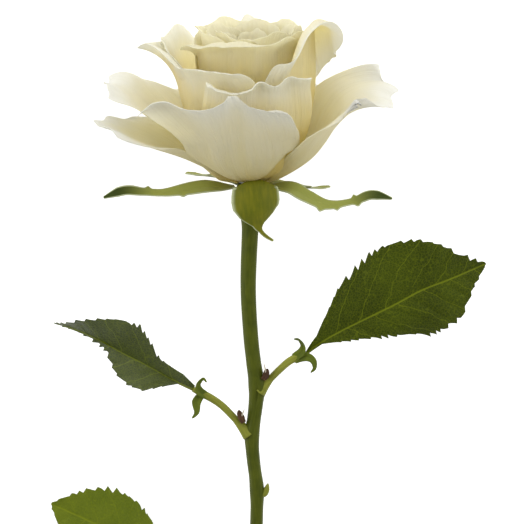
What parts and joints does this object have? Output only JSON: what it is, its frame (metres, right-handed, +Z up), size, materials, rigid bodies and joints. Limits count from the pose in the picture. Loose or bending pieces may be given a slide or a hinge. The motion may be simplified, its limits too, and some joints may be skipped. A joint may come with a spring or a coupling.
{
  "type": "cut rose",
  "caption": "Single cut rose lying on a surface: an open cream-white bloom with reflexed outer petals and sepals on a slender bare stem with serrated leaves.",
  "frame": {"origin": "centre of the bottom of the bounding box, on the surface that the rose lies on", "axes": "+Y along the stem from its cut end to the bloom, +Z up from the surface, +X to the right with the bloom away from the viewer"},
  "size_m": [0.142, 0.3234, 0.0662],
  "materials": {
    "petal": "soft matt cream-white petal, thin and translucent, with faint veins and a warmer, yellower base",
    "sepal": "satin yellow-green sepal, paler inside",
    "stem": "satin olive-green bark, browner at the nodes",
    "leaf": "satin dark green blade with paler veins",
    "bud": "dry brown bud scales"
  },
  "bodies": {
    "root": {"stem": "stem", "sepal_1": "sepal", "sepal_2": "sepal", "sepal_3": "sepal", "sepal_4": "sepal", "sepal_5": "sepal", "outer_petal_1": "petal", "outer_petal_2": "petal", "outer_petal_3": "petal", "outer_petal_4": "petal", "outer_petal_5": "petal", "second_petal_1": "petal", "second_petal_2": "petal", "second_petal_3": "petal", "second_petal_4": "petal", "second_petal_5": "petal", "third_petal_1": "petal", "third_petal_2": "petal", "third_petal_3": "petal", "third_petal_4": "petal", "third_petal_5": "petal", "fourth_petal_1": "petal", "fourth_petal_2": "petal", "fourth_petal_3": "petal", "fourth_petal_4": "petal", "fourth_petal_5": "petal", "fifth_petal_1": "petal", "fifth_petal_2": "petal", "fifth_petal_3": "petal", "fifth_petal_4": "petal", "heart_petal_1": "petal", "heart_petal_2": "petal", "leaf_right": "leaf", "leaf_left": "leaf", "leaf_lower": "leaf", "bud_right": "bud", "bud_left": "bud"}
  },
  "joints": []
}
